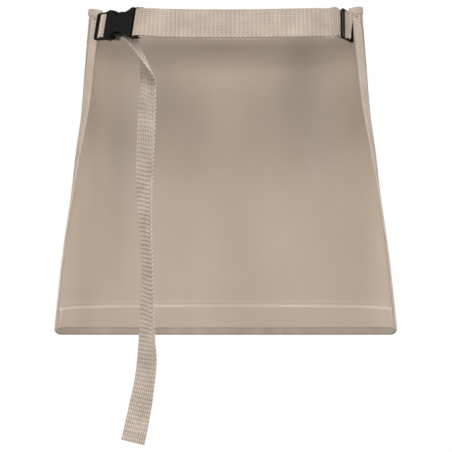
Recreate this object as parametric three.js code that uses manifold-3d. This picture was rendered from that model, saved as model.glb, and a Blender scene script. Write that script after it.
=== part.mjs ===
// Gardening apron: a half apron with a webbing waist belt, in the form that it has when worn.
// Millimetres, +Z up. The origin is the middle of the waist at the belt's mid height.
// The wearer faces +Y, so the panel is on the +Y side and the belt on the -Y side.
import * as THREE from "three";
import { mergeVertices } from "three/addons/utils/BufferGeometryUtils.js";
import Module from "manifold-3d";

const wasm = await Module();
wasm.setup();
const { Manifold, Mesh: SolidMesh } = wasm;

// Driving sizes
const CLOTH = { width: 596, height: 450, thickness: 1.0, hemRadius: 9.6 };
const TAPE = { width: 9.6, thickness: 1.0, gap: 0.35 };
const WEBBING = { belt: 37, tail: 32, thickness: 1.6 };
const UP = new THREE.Vector3(0, 0, 1);

// Where the cloth hangs
const FRONT_Y = 115; // the panel's middle, at the wearer's front
const TOP_Z = 32; // the top edge
const HEM_Z = -422; // the hem at its middle
const HEM_RISE = 0.062; // how much the hem rises for each mm that it comes forward
const TOP_SLANT = 1.6; // the right top corner is a little higher than the left
const CORNER_DROOP = { from: 0.8, depth: 7 }; // the belt pulls the top corners down
const SEAM = { drop: 412, half: 5, ridge: 0.9 }; // the sewn line above the hem

// The panel's level sections: reach is the half width, and turn is how far the cloth
// has turned at its side edge, where 90 degrees points straight back along the wearer's side.
const SECTIONS = [
  { drop: 0, reach: 187.0, turn: 133 },
  { drop: 75, reach: 192.6, turn: 126 },
  { drop: 138, reach: 197.2, turn: 120.5 },
  { drop: 200, reach: 204.6, turn: 112 },
  { drop: 262, reach: 210.0, turn: 98.5 },
  { drop: 345, reach: 220.5, turn: 86 },
  { drop: 450, reach: 232.4, turn: 73 },
];

// Soft upright folds below the belt: across is the place over the half width.
const FOLDS = [
  { across: -0.31, width: 0.17, depth: 3.4, fade: 190 },
  { across: 0.34, width: 0.17, depth: 3.8, fade: 200 },
];

// The free strap below the buckle: yaw and rise turn its width, from its near edge to its far one.
const TAIL = [
  { x: -133.5, y: -60, z: 0.5, yaw: 66, rise: 52 },
  { x: -127.8, y: -63.5, z: -5, yaw: 65, rise: 16 },
  { x: -125.6, y: -70, z: -17.7, yaw: 65, rise: 11 },
  { x: -117.5, y: -69.9, z: -31.1, yaw: 75, rise: 13 },
  { x: -111.9, y: -68.9, z: -38.8, yaw: 85, rise: 16 },
  { x: -108.6, y: -66, z: -46.4, yaw: 101, rise: 23 },
  { x: -107, y: -61.9, z: -54.2, yaw: 118, rise: 23 },
  { x: -105.9, y: -56, z: -65.8, yaw: 132, rise: 17 },
  { x: -105.3, y: -49.6, z: -82.4, yaw: 140, rise: 10 },
  { x: -106.2, y: -45.7, z: -106.3, yaw: 140, rise: 5 },
  { x: -107.8, y: -45.7, z: -150, yaw: 140, rise: 2 },
  { x: -109.7, y: -45.7, z: -190.6, yaw: 137, rise: 1 },
  { x: -109.3, y: -45.7, z: -231, yaw: 130, rise: 0 },
  { x: -107.8, y: -45.7, z: -278, yaw: 123, rise: 0 },
  { x: -105.6, y: -45.7, z: -330, yaw: 121, rise: -1 },
  { x: -106, y: -45.7, z: -372.5, yaw: 126, rise: -2 },
  { x: -106.1, y: -45.7, z: -418, yaw: 135, rise: -2 },
  { x: -106.4, y: -45.7, z: -449.3, yaw: 147, rise: -2 },
  { x: -109.8, y: -45.7, z: -478.9, yaw: 151, rise: -2 },
  { x: -115.5, y: -45.7, z: -511.3, yaw: 163, rise: -1 },
  { x: -122.1, y: -45.7, z: -543.7, yaw: 172, rise: 0 },
  { x: -124.8, y: -45.7, z: -556, yaw: 174, rise: 0 },
];

// Buckle: turn is in plan, lean brings its lower edge outwards, bar is the half thickness of a bar.
const BUCKLE = { x: -172.2, y: -54, z: 1.4, turn: -42.7, lean: 12, length: 78, bar: 1.4, body: 5.5 };
const PLUG = {
  start: -2.8, end: 0.6, window: 19.3, barFrom: 9.5, barTo: 12, base: 30, inner: 16.5, outer: 18.7,
};
const SOCKET = { mouth: 30.4, slot: 69.8, bar: 74.2, inner: 19, outer: 20.9 };

// Slider: roll lowers its right end.
const SLIDER = {
  x: 153.8, y: -86.2, z: 3.1, turn: 60, roll: 7.6, lean: 4.4,
  length: 32.5, half: 20.6, inner: 18.9, bar: 1.6,
};
const SLIDER_BARS = { left: 6.2, middleFrom: 15.4, middleTo: 17.6, right: 28.5 };

const radians = THREE.MathUtils.degToRad;
const HALF = CLOTH.width / 2;

// Value of a table's column between its rows, smooth from row to row.
function along(rows, key, column, at) {
  const last = rows.length - 1;
  let i = 0;
  while (i < last - 1 && at > rows[i + 1][key]) i += 1;
  const t = THREE.MathUtils.clamp((at - rows[i][key]) / (rows[i + 1][key] - rows[i][key]), 0, 1);
  const slope = (a, b) => (rows[b][column] - rows[a][column]) / (rows[b][key] - rows[a][key]);
  const span = rows[i + 1][key] - rows[i][key];
  const start = slope(Math.max(i - 1, 0), i + 1) * span;
  const end = slope(i, Math.min(i + 2, last)) * span;
  const [p, q] = [rows[i][column], rows[i + 1][column]];
  const [t2, t3] = [t * t, t * t * t];
  return p * (2 * t3 - 3 * t2 + 1) + start * (t3 - 2 * t2 + t) + q * (3 * t2 - 2 * t3) + end * (t3 - t2);
}

// Plan of one section from its middle to the fraction u of its half: how far out and how far back.
// The cloth turns as u to the power of square, so a larger one has tighter corners.
function plan(turn, square, u) {
  const steps = 40;
  let out = 0;
  let back = 0;
  for (let i = 0; i < steps; i += 1) {
    const angle = turn * Math.pow(((i + 0.5) / steps) * u, square);
    out += (Math.cos(angle) * u * HALF) / steps;
    back += (Math.sin(angle) * u * HALF) / steps;
  }
  return { out, back };
}

// The corner tightness that gives a section its reach.
const squares = new Map();
function squareFor(reach, turn) {
  const key = `${reach.toFixed(4)} ${turn.toFixed(5)}`;
  if (!squares.has(key)) {
    let low = 0.8;
    let high = 5;
    for (let i = 0; i < 30; i += 1) {
      const middle = (low + high) / 2;
      const widest = Math.min(1, Math.pow(Math.PI / 2 / turn, 1 / middle));
      if (plan(turn, middle, widest).out < reach) low = middle;
      else high = middle;
    }
    squares.set(key, (low + high) / 2);
  }
  return squares.get(key);
}

// Depth of the soft folds and the seam's ridge, towards the wearer.
function relief(u, drop) {
  let depth = 0;
  for (const fold of FOLDS) {
    const side = (u - fold.across) / fold.width;
    depth += fold.depth * Math.exp(-side * side) * Math.exp(-Math.pow(drop / fold.fade, 2));
  }
  const off = Math.abs(drop - SEAM.drop) / SEAM.half;
  const ridge = SEAM.ridge * Math.max(0, 1 - off);
  const underTape = (HALF * (1 - Math.abs(u)) - TAPE.width) / TAPE.width;
  return (depth + ridge) * THREE.MathUtils.clamp(underTape, 0, 1);
}

// The place on the hanging cloth of a point of the flat cut: s from its middle, drop from its top edge.
function smoothCloth(s, drop) {
  const at = THREE.MathUtils.clamp(drop, 0, CLOTH.height);
  const turn = radians(along(SECTIONS, "drop", "turn", at));
  const reach = along(SECTIONS, "drop", "reach", at);
  const u = Math.abs(s) / HALF;
  const { out, back } = plan(turn, squareFor(reach, turn), u);
  const foot = SECTIONS[SECTIONS.length - 1];
  const footTurn = radians(foot.turn);
  const footBack = plan(footTurn, squareFor(foot.reach, footTurn), u).back;
  const past = Math.max(0, u - CORNER_DROOP.from) / (1 - CORNER_DROOP.from);
  const top = TOP_Z + TOP_SLANT * (s / HALF) - CORNER_DROOP.depth * past * past;
  const hem = HEM_Z + HEM_RISE * footBack;
  const z = top + (drop / CLOTH.height) * (hem - top);
  return new THREE.Vector3(Math.sign(s) * out, FRONT_Y - back, z);
}

// The cloth's own directions at a point: along its width, down its length and out of its face.
function clothFrame(s, drop) {
  const step = 0.5;
  const side = smoothCloth(s + step, drop).sub(smoothCloth(s - step, drop)).normalize();
  const down = smoothCloth(s, drop + step).sub(smoothCloth(s, drop - step)).normalize();
  return { side, down, out: side.clone().cross(down).normalize() };
}

// A point at a height over the cloth's middle face, on its outer side if positive.
function cloth(s, drop, height) {
  const { out } = clothFrame(s, drop);
  return smoothCloth(s, drop).addScaledVector(out, height - relief(s / HALF, drop));
}

// Closed solid through rings of points. faces are the triangles of its end faces, round the ring's own way.
function loft(rings, faces) {
  const count = rings[0].length;
  const positions = rings.flat().flatMap((p) => [p.x, p.y, p.z]);
  const index = [];
  for (let i = 0; i + 1 < rings.length; i += 1) {
    for (let j = 0; j < count; j += 1) {
      const [a, b] = [i * count + j, i * count + ((j + 1) % count)];
      index.push(a, b, b + count, a, b + count, a + count);
    }
  }
  const last = (rings.length - 1) * count;
  for (const [p, q, r] of faces) index.push(p, r, q, last + p, last + q, last + r);
  const geometry = new THREE.BufferGeometry();
  geometry.setAttribute("position", new THREE.Float32BufferAttribute(positions, 3));
  geometry.setIndex(volume(positions, index) < 0 ? index.reverse() : index);
  geometry.computeVertexNormals();
  return geometry;
}

// End faces of a ring with a flat outline.
function outlineFaces(outline) {
  const points = outline.map(([x, y]) => new THREE.Vector2(x, y));
  const turn = (ring) => Math.sign(THREE.ShapeUtils.area(ring));
  return THREE.ShapeUtils.triangulateShape(points, []).map((face) => {
    const same = turn(face.map((k) => points[k])) === turn(points);
    return same ? face : [face[0], face[2], face[1]];
  });
}

// End faces of a ring that runs along one side of a strip and back along the other.
function stripFaces(count) {
  const faces = [];
  for (let i = 0; i < count / 2 - 1; i += 1) {
    faces.push([i, i + 1, count - 2 - i], [i, count - 2 - i, count - 1 - i]);
  }
  return faces;
}

function volume(positions, index) {
  let sum = 0;
  const point = (k) => new THREE.Vector3().fromArray(positions, 3 * k);
  for (let i = 0; i < index.length; i += 3) {
    sum += point(index[i]).dot(point(index[i + 1]).cross(point(index[i + 2]))) / 6;
  }
  return sum;
}

// Places from a to b, closer together near b.
function graded(a, b, count, power) {
  return Array.from({ length: count + 1 }, (_, i) => a + (b - a) * (1 - Math.pow(1 - i / count, power)));
}

// Half the cloth's width at a drop: less than the whole in the hem's rounded corners.
function halfWidthAt(drop) {
  const into = Math.max(0, drop - (CLOTH.height - CLOTH.hemRadius));
  return HALF - CLOTH.hemRadius + Math.sqrt(Math.max(0, CLOTH.hemRadius ** 2 - into ** 2));
}

// The flat cut's columns, from the middle to the side edge, and its rows down to the hem's corners.
const COLUMNS = [...graded(0, HALF - 21, 17, 1.4), HALF - 14.4, HALF - 9.6, HALF - 4.8, HALF];
const CORNER_DROP = CLOTH.height - CLOTH.hemRadius;
const ROWS = [
  ...Array.from({ length: 15 }, (_, i) => (i / 15) * (SEAM.drop - SEAM.half)),
  SEAM.drop - SEAM.half, SEAM.drop, SEAM.drop + SEAM.half, 426, CORNER_DROP,
];

function panelGeometry() {
  const across = [...COLUMNS.slice(1).reverse().map((s) => -s / HALF), ...COLUMNS.map((s) => s / HALF)];
  const corner = [0.3, 0.6, 0.85, 1].map((k) => CORNER_DROP + CLOTH.hemRadius * k);
  const half = CLOTH.thickness / 2;
  const rings = [...ROWS, ...corner].map((drop) => {
    const wide = halfWidthAt(drop);
    const outer = across.map((u) => cloth(u * wide, drop, half));
    const inner = across.map((u) => cloth(u * wide, drop, -half)).reverse();
    return [...outer, ...inner];
  });
  return loft(rings, stripFaces(rings[0].length));
}

// Folded tape on the cloth's edge: in is how far a point lies from the edge, height is over the cloth.
function tapeSection(width) {
  const slot = CLOTH.thickness / 2 + TAPE.gap;
  const face = slot + TAPE.thickness;
  const fold = TAPE.gap + TAPE.thickness;
  return [
    [width, face], [width / 2, face], [0, face],
    [-0.7 * fold, 0.72 * face], [-fold, 0], [-0.7 * fold, -0.72 * face],
    [0, -face], [width / 2, -face], [width, -face],
    [width, -slot], [width / 2, -slot], [-TAPE.gap, -slot],
    [-TAPE.gap, slot], [width / 2, slot], [width, slot],
  ];
}

// One ring of the tape: place gives the flat cut's point at a distance in from the edge.
function tapeRing(width, place) {
  return tapeSection(width).map(([inwards, height]) => {
    const [s, drop] = place(inwards);
    return cloth(s, drop, height);
  });
}

// How deep the top tape is: its ends slant down at the side edges.
const TOP_TAPE = { depth: 8, slant: 5.5, over: 9.6 };
function topDepth(s) {
  const past = Math.max(0, Math.abs(s) - (HALF - TOP_TAPE.over)) / TOP_TAPE.over;
  return TOP_TAPE.depth + TOP_TAPE.slant * Math.min(1, past);
}

function topBindingGeometry() {
  const ends = HALF + TAPE.gap + TAPE.thickness;
  const near = [...COLUMNS, ends];
  const across = [...near.slice(1).reverse().map((s) => -s), ...near];
  const rings = across.map((s) => tapeRing(topDepth(s), (inwards) => [s, inwards]));
  return loft(rings, outlineFaces(tapeSection(TOP_TAPE.depth)));
}

// Left side, hem corner, hem, hem corner and right side, as one tape.
function edgeBindingGeometry() {
  const radius = CLOTH.hemRadius;
  const side = ROWS.filter((drop) => drop > TOP_TAPE.depth + TOP_TAPE.slant + 2);
  const bends = [15, 30, 45, 60, 75].map(radians);
  const columns = COLUMNS.filter((s) => s <= HALF - radius);
  const startDrop = (inwards) => topDepth(HALF - Math.max(0, inwards)) + 2 * TAPE.gap;
  const half = [(inwards) => [HALF - inwards, startDrop(inwards)]];
  half.push(...side.map((drop) => (inwards) => [HALF - inwards, drop]));
  half.push(...bends.map((bend) => (inwards) => [
    HALF - radius + (radius - inwards) * Math.cos(bend),
    CORNER_DROP + (radius - inwards) * Math.sin(bend),
  ]));
  half.push(...columns.slice(1).reverse().map((s) => (inwards) => [s, CLOTH.height - inwards]));
  const middle = (inwards) => [0, CLOTH.height - inwards];
  const mirrored = half.map((place) => (inwards) => [-place(inwards)[0], place(inwards)[1]]);
  const places = [...mirrored, middle, ...half.reverse()];
  return loft(places.map((place) => tapeRing(TAPE.width, place)), outlineFaces(tapeSection(TAPE.width)));
}

// Local frame of a piece of hardware: u along it, v up across the strap, w out of its face.
function placement({ x, y, z, turn, lean = 0, roll = 0 }) {
  const [a, b, c] = [turn, lean, roll].map(radians);
  const flat = new THREE.Vector3(Math.cos(a), Math.sin(a), 0);
  const u = flat.clone().multiplyScalar(Math.cos(c)).addScaledVector(UP, -Math.sin(c));
  const level = flat.clone().multiplyScalar(Math.sin(c)).addScaledVector(UP, Math.cos(c));
  const outward = u.clone().cross(level);
  const v = level.clone().multiplyScalar(Math.cos(b)).addScaledVector(outward, -Math.sin(b));
  const w = u.clone().cross(v);
  const matrix = new THREE.Matrix4().makeBasis(u, v, w).setPosition(x, y, z);
  return { matrix, v, w, at: (p, q, r) => new THREE.Vector3(p, q, r).applyMatrix4(matrix) };
}

const buckle = placement(BUCKLE);
const slider = placement(SLIDER);

// Webbing through stations, each with its middle and the direction of its width.
function strapGeometry(stations, width, step) {
  const middle = new THREE.CatmullRomCurve3(stations.map((k) => k.point), false, "centripetal");
  const turns = new THREE.CatmullRomCurve3(stations.map((k) => k.across), false, "catmullrom", 0.3);
  const spans = stations.length - 1;
  const rings = [];
  const half = WEBBING.thickness / 2;
  const corners = [[-width / 2, -half], [width / 2, -half], [width / 2, half], [-width / 2, half]];
  for (let i = 0; i < spans; i += 1) {
    const parts = Math.max(1, Math.round(stations[i].point.distanceTo(stations[i + 1].point) / step));
    for (let k = 0; k < parts + (i === spans - 1 ? 1 : 0); k += 1) {
      const t = (i + k / parts) / spans;
      const tangent = middle.getTangent(t);
      const across = turns.getPoint(t);
      across.addScaledVector(tangent, -across.dot(tangent)).normalize();
      const face = tangent.clone().cross(across);
      const point = middle.getPoint(t);
      const corner = ([a, b]) => point.clone().addScaledVector(across, a).addScaledVector(face, b);
      rings.push(corners.map(corner));
    }
  }
  return loft(rings, outlineFaces(corners));
}

// The stretch of a strap that is sewn to the panel's inner face at a side edge.
const SEWN = { length: 38, height: -3.7, drop: 24, rightDrop: 24 };
function sewnStations(sign, drop) {
  return [SEWN.length, 30, 22, 12, 5, -2].map((inwards) => {
    const s = sign * (HALF - inwards);
    const { down } = clothFrame(s, drop);
    return { point: cloth(s, drop, SEWN.height), across: down.negate() };
  });
}

// Stations of a strap in a piece of hardware's own frame: u, w and the lean of its upper edge outwards.
function threaded(place, rows, shift = 0) {
  return rows.map(([u, w, lean = 0]) => ({
    point: place.at(u, shift, w),
    across: place.v.clone().addScaledVector(place.w, Math.tan(radians(lean))).normalize(),
  }));
}

function tailGeometry() {
  const weave = threaded(buckle, [
    [1.5, -3.1], [4.4, -2.8], [6.3, 0.4], [8.4, 2.7], [11.2, 3.1], [14.6, 2.7], [16.8, 0.4], [17.6, -3.6],
    [18.2, -7.4], [20.6, -12.5], [27, -18],
  ]);
  const free = TAIL.map(({ x, y, z, yaw, rise }) => ({
    point: new THREE.Vector3(x, y, z),
    across: new THREE.Vector3(1, 0, 0)
      .applyAxisAngle(new THREE.Vector3(0, -1, 0), radians(rise))
      .applyAxisAngle(UP, radians(yaw)),
  }));
  return strapGeometry([...sewnStations(-1, SEWN.drop), ...weave, ...free], WEBBING.tail, 9);
}

// The belt's run across the wearer's back, with its middle height and how much lower its inner layer is.
const BELT_RUN = [
  { x: -85, y: -114.6, z: 0, back: 0.6 },
  { x: -45, y: -115, z: -0.8, back: 1.6 },
  { x: 0, y: -115.5, z: -1.1, back: 2.4 },
  { x: 45, y: -115.3, z: -0.7, back: 2.2 },
  { x: 90, y: -114.6, z: 0.2, back: 0.9 },
  { x: 118, y: -112, z: 1, back: 0.9 },
  { x: 137, y: -105.5, z: 1.8, back: 1.8 },
];
function runStations(depth, lowered) {
  return BELT_RUN.map(({ x, y, z, back }) => ({
    point: new THREE.Vector3(x, y + depth, z - (lowered ? back : 0)),
    across: UP.clone(),
  }));
}

function beltGeometry() {
  const layer = 2.3;
  const backDrop = 1.6;
  const sewnEnd = [
    ...threaded(slider, [
      [15.4, 2.9], [17.4, 2.9], [19.4, 1.9], [20, 0], [19.4, -1.9], [17.2, -2.9], [13, -3.7], [8, -4.7],
    ]),
    ...threaded(slider, [[0, -5], [-12, -4.4]], -backDrop),
  ];
  const loop = threaded(buckle, [
    [85, -2.4], [79, -3], [75, -3], [72.7, -1.9], [71.9, 0], [72.7, 1.9], [75, 3], [79, 3], [85, 1.4],
  ]);
  const through = threaded(slider, [
    [-12, -2.1], [0, -2.8], [6, -2.8], [8.4, -1.2], [10.6, 1.6], [12.8, 4.2], [15.5, 5.2], [18, 5.4, 6],
    [20.6, 4.6, 12], [23, 2.2, 14], [25, -0.6, 8], [26.8, -2.8, 2], [29, -3.3], [33, -3.9],
  ]);
  const stations = [
    ...sewnEnd,
    ...runStations(layer, true).reverse(),
    ...loop,
    ...runStations(0, false),
    ...through,
    ...sewnStations(1, SEWN.rightDrop).reverse(),
  ];
  return strapGeometry(stations, WEBBING.belt, 11);
}

// Solids for adding and cutting
function solid(geometry) {
  const bare = geometry.clone();
  bare.deleteAttribute("normal");
  bare.deleteAttribute("uv");
  const merged = mergeVertices(bare, 1e-4);
  return new Manifold(new SolidMesh({
    numProp: 3,
    vertProperties: new Float32Array(merged.attributes.position.array),
    triVerts: new Uint32Array(merged.index.array),
  }));
}

function geometryOf(body) {
  const mesh = body.getMesh();
  const geometry = new THREE.BufferGeometry();
  geometry.setAttribute("position", new THREE.Float32BufferAttribute(mesh.vertProperties, 3));
  geometry.setIndex(Array.from(mesh.triVerts));
  geometry.computeVertexNormals();
  return geometry;
}

// Plate with an outline in u and v, of that half thickness, with its rims bevelled.
function plate(outline, half, bevel = 0) {
  const shape = new THREE.Shape(outline.map(([x, y]) => new THREE.Vector2(x, y)));
  const geometry = new THREE.ExtrudeGeometry(shape, {
    depth: 2 * (half - bevel),
    bevelEnabled: bevel > 0,
    bevelThickness: bevel,
    bevelSize: bevel,
    bevelOffset: -bevel,
    bevelSegments: 1,
  });
  return geometry.translate(0, 0, bevel - half);
}

function rectangle(u0, u1, half) {
  return [[u0, -half], [u1, -half], [u1, half], [u0, half]];
}

// Both halves of an outline that is given for positive v, from its left end to its right end.
function mirrored(upper) {
  return [...upper.map(([u, v]) => [u, -v]), ...upper.slice().reverse()];
}

function plugGeometry() {
  const frame = plate(
    mirrored([
      [PLUG.start, 15.5], [PLUG.start + 1, PLUG.outer - 0.8], [1, PLUG.outer], [14, 19.4],
      [PLUG.window + 3, 20],
    ]),
    BUCKLE.bar + 0.3, 0.5,
  );
  const windows = [
    plate(rectangle(PLUG.end, PLUG.barFrom, PLUG.inner), BUCKLE.body),
    plate(rectangle(PLUG.barTo, PLUG.window, PLUG.inner), BUCKLE.body),
  ];
  const base = plate(
    mirrored([[PLUG.window, 18], [PLUG.window + 2, 19.6], [25, 20.4], [PLUG.base, 19.4]]),
    BUCKLE.body, 1.2,
  );
  const prongOutline = [
    [28, 12.4], [36, 12.4], [43, 12.8], [49, 13.6], [52.6, 14.6],
    [52, 15.6], [49, 16.4], [45, 16.6], [41.5, 16.2], [38.5, 15.6], [28, 15.4],
  ];
  const prong = (sign) => plate(prongOutline.map(([u, v]) => [u, sign * v]), 2.6);
  const tongue = plate(rectangle(28, 44, 3), 2.4);
  let body = solid(frame);
  for (const cut of windows) body = body.subtract(solid(cut));
  for (const part of [base, tongue, prong(-1), prong(1)]) body = body.add(solid(part));
  return geometryOf(body);
}

// The socket's waist: a wide scoop in each side, where the plug's prongs show.
const SCOOP = [
  [31.6, 24], [32.4, 17.4], [34.6, 14.2], [38, 11.9], [42, 11.2], [46, 11.8], [50, 13.1], [55, 14.6],
  [60, 16.1], [64, 17.9], [66.5, 20.2], [67, 24],
];

function socketGeometry() {
  const sleeve = plate(
    mirrored([[SOCKET.mouth, 19.2], [40, 19.4], [60, 19.8], [SOCKET.slot, 20.6]]),
    BUCKLE.body, 1.2,
  );
  const frame = plate(
    mirrored([
      [SOCKET.slot - 4, SOCKET.outer - 1], [SOCKET.bar - 2, SOCKET.outer], [BUCKLE.length - 1, 20.4],
      [BUCKLE.length, 19],
    ]),
    BUCKLE.bar + 0.2, 0.4,
  );
  const cheekOutline = [[67.5, 18.9], [81, 18.9], [82.4, 19.8], [80.6, 20.9], [67.5, 20.9]];
  const cheek = (sign) => plate(cheekOutline.map(([u, v]) => [u, sign * v]), 2).translate(0, 0, -3.2);
  const cavity = plate(rectangle(SOCKET.mouth - 2, 55, 16.6), 3.2);
  const scoops = [-1, 1].map((sign) => plate(SCOOP.map(([u, v]) => [u, sign * v]), BUCKLE.body + 2));
  const slotCut = plate(rectangle(SOCKET.slot, SOCKET.bar, SOCKET.inner), BUCKLE.body + 2);
  let body = solid(sleeve).add(solid(frame));
  for (const sign of [-1, 1]) body = body.add(solid(cheek(sign)));
  for (const cut of [cavity, slotCut, ...scoops]) body = body.subtract(solid(cut));
  return geometryOf(body);
}

function sliderGeometry() {
  const { length, half, inner, bar } = SLIDER;
  const corner = 2.4;
  const outline = mirrored([
    [0, half - corner], [corner, half], [length - corner, half], [length, half - corner],
  ]);
  const windows = [
    plate(rectangle(SLIDER_BARS.left, SLIDER_BARS.middleFrom, inner), 2 * bar),
    plate(rectangle(SLIDER_BARS.middleTo, SLIDER_BARS.right, inner), 2 * bar),
  ];
  let body = solid(plate(outline, bar, 0.5));
  for (const cut of windows) body = body.subtract(solid(cut));
  return geometryOf(body);
}

function piece(name, geometry, color, roughness, matrix) {
  const mesh = new THREE.Mesh(geometry, new THREE.MeshStandardMaterial({ color, roughness, metalness: 0 }));
  mesh.name = name;
  if (matrix) mesh.applyMatrix4(matrix);
  return mesh;
}

const apron = new THREE.Group();
apron.name = "gardening_apron";
apron.add(
  piece("panel", panelGeometry(), 0xb7a797, 0.55),
  piece("edge_binding", edgeBindingGeometry(), 0xc1b1a3, 0.85),
  piece("top_binding", topBindingGeometry(), 0xc1b1a3, 0.85),
  piece("tail_strap", tailGeometry(), 0xbaaa9b, 0.9),
  piece("waist_belt", beltGeometry(), 0xc6b6a7, 0.9),
  piece("buckle_plug", plugGeometry(), 0x242424, 0.5, buckle.matrix),
  piece("buckle_socket", socketGeometry(), 0x242424, 0.5, buckle.matrix),
  piece("slider", sliderGeometry(), 0x1e1e1e, 0.45, slider.matrix),
);
apron.updateMatrixWorld(true);

export default apron;
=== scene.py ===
"""Looks of a gardening apron: coated cloth, taped edges, woven webbing and moulded buckles."""

import logging
import math
from dataclasses import dataclass, field
from enum import Enum
from typing import Any, Iterable, Sequence

import bmesh
import bpy
import numpy as np
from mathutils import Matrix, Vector


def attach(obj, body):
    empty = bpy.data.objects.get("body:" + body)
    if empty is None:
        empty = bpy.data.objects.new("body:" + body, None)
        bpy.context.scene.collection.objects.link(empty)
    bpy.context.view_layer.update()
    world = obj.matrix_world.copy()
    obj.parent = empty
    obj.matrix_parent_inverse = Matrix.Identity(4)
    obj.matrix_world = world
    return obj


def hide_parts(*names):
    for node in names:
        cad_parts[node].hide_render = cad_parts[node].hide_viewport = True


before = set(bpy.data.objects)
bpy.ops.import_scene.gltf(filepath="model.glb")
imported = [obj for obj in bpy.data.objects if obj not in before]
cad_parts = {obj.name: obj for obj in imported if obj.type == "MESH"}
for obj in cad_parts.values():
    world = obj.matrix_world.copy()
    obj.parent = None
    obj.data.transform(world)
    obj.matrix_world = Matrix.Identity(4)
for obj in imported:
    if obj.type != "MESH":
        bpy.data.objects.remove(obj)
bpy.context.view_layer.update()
LOG = logging.getLogger("gardening_apron")

MM = 0.001
BODY = "root"
Row = dict[str, float]
Array = np.ndarray
Object = bpy.types.Object
Material = bpy.types.Material
Socket = bpy.types.NodeSocket
Tree = bpy.types.NodeTree
SeamRow = tuple[Array, Array]


class Face(Enum):
    """The two faces of the hanging cloth."""

    OUTER = 1
    INNER = -1


class Side(Enum):
    """The two side edges of the panel, as the camera sees them."""

    LEFT = -1
    RIGHT = 1


class Weave(Enum):
    """How a strap's yarns lie: beads in staggered columns, or ribs across that turn into beads lower down."""

    BEADED = "beaded"
    RIBBED = "ribbed"


def table(columns: str, *rows: Sequence[float]) -> Any:
    """Make the field of a table: a row for each tuple, under the names of its columns."""
    return field(default_factory=lambda: [dict(zip(columns.split(), row)) for row in rows])


def limited(value: Array) -> Array:
    """Hold values between 0 and 1."""
    return np.clip(value, 0, 1)


def hump(offset: Array, width: float) -> Array:
    """Give a smooth hump, one high where the offset is nothing."""
    return np.exp(-((offset / width) ** 2))


def eased(rise: Array) -> Array:
    """Make an even rise from 0 to 1 start and end gently."""
    return rise * rise * (3 - 2 * rise)


def hermite(t: Any) -> tuple[Any, Any, Any, Any]:
    """Give the weights of a stretch's start, its slope there, its end and its slope there."""
    t2, t3 = t * t, t * t * t
    return 2 * t3 - 3 * t2 + 1, t3 - 2 * t2 + t, 3 * t2 - 2 * t3, t3 - t2


def unit(vectors: Array) -> Array:
    """Scale vectors to length one."""
    return vectors / np.maximum(np.linalg.norm(vectors, axis=-1, keepdims=True), 1e-12)


def heading(yaw: float, rise: float) -> Array:
    """Give a direction from its yaw in plan and its rise, in degrees."""
    yaw, rise = math.radians(yaw), math.radians(rise)
    return np.array([math.cos(rise) * math.cos(yaw), math.cos(rise) * math.sin(yaw), math.sin(rise)])


def lengths(line: Array) -> Array:
    """Give the length so far at each point of a line."""
    return np.concatenate([[0], np.cumsum(np.linalg.norm(np.diff(line, axis=0), axis=1))])


def follow(at: Array, run: Array, vectors: Array) -> Array:
    """Read vectors that lie along a line, at some of its lengths."""
    return np.stack([np.interp(at, run, vectors[:, k]) for k in range(3)], axis=-1)


def both_faces(front: Array, back: Array) -> Array:
    """Join what a sheet's two faces hold into rings, out along the front and home along the back."""
    return np.concatenate([front, back[:, ::-1]], axis=1)


def table_value(rows: Sequence[Row], key: str, column: str, at: float) -> float:
    """Read a table's column between its rows, smooth from row to row.

    Args:
        rows: the table, in rising order of its key.
        key: the column that is looked up.
        column: the column that is read.
        at: the key's value.

    Returns:
        The column's value there.
    """
    last = len(rows) - 1
    i = 0
    while i < last - 1 and at > rows[i + 1][key]:
        i += 1
    span = rows[i + 1][key] - rows[i][key]

    def slope(a: int, b: int) -> float:
        """Rise of the column from row a to row b."""
        return (rows[b][column] - rows[a][column]) / (rows[b][key] - rows[a][key])

    ends = (
        rows[i][column], slope(max(i - 1, 0), i + 1) * span,
        rows[i + 1][column], slope(i, min(i + 2, last)) * span,
    )
    weights = hermite(min(1.0, max(0.0, (at - rows[i][key]) / span)))
    return sum(end * weight for end, weight in zip(ends, weights))


def add_object(name: str, data: Any) -> Object:
    """Put a new object into the scene."""
    made = bpy.data.objects.new(name, data)
    bpy.context.scene.collection.objects.link(made)
    return made


def settle(made: Object) -> None:
    """Turn an object's modifiers into plain mesh."""
    bpy.context.view_layer.update()
    graph = bpy.context.evaluated_depsgraph_get()
    mesh = bpy.data.meshes.new_from_object(made.evaluated_get(graph))
    made.modifiers.clear()
    made.data = mesh


def linear(colour: str) -> tuple[float, float, float, float]:
    """Turn an sRGB hex colour into a linear one.

    Args:
        colour: six hex digits after a hash sign.

    Returns:
        Red, green, blue and an alpha of one.
    """
    channels = [int(colour[i : i + 2], 16) / 255 for i in (1, 3, 5)]
    light = [c / 12.92 if c <= 0.04045 else ((c + 0.055) / 1.055) ** 2.4 for c in channels]
    return light[0], light[1], light[2], 1.0


def add_node(tree: Tree, kind: str, inputs: dict[Any, Any] | None = None, **settings: Any) -> bpy.types.Node:
    """Add a node with its settings, and fill its inputs.

    Args:
        tree: the tree that gets the node.
        kind: the node's type.
        inputs: for each socket, by name or index, a value or the output that feeds it.
        settings: the node's own properties.

    Returns:
        The new node.
    """
    node = tree.nodes.new(kind)
    for name, value in settings.items():
        setattr(node, name, value)
    for key, value in (inputs or {}).items():
        if isinstance(value, Socket):
            tree.links.new(value, node.inputs[key])
        else:
            node.inputs[key].default_value = value
    return node


def blank_material(name: str) -> tuple[Material, Tree]:
    """Make a node material with no nodes in it yet."""
    material = bpy.data.materials.new(name)
    material.use_nodes = True
    material.node_tree.nodes.clear()
    return material, material.node_tree


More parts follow.
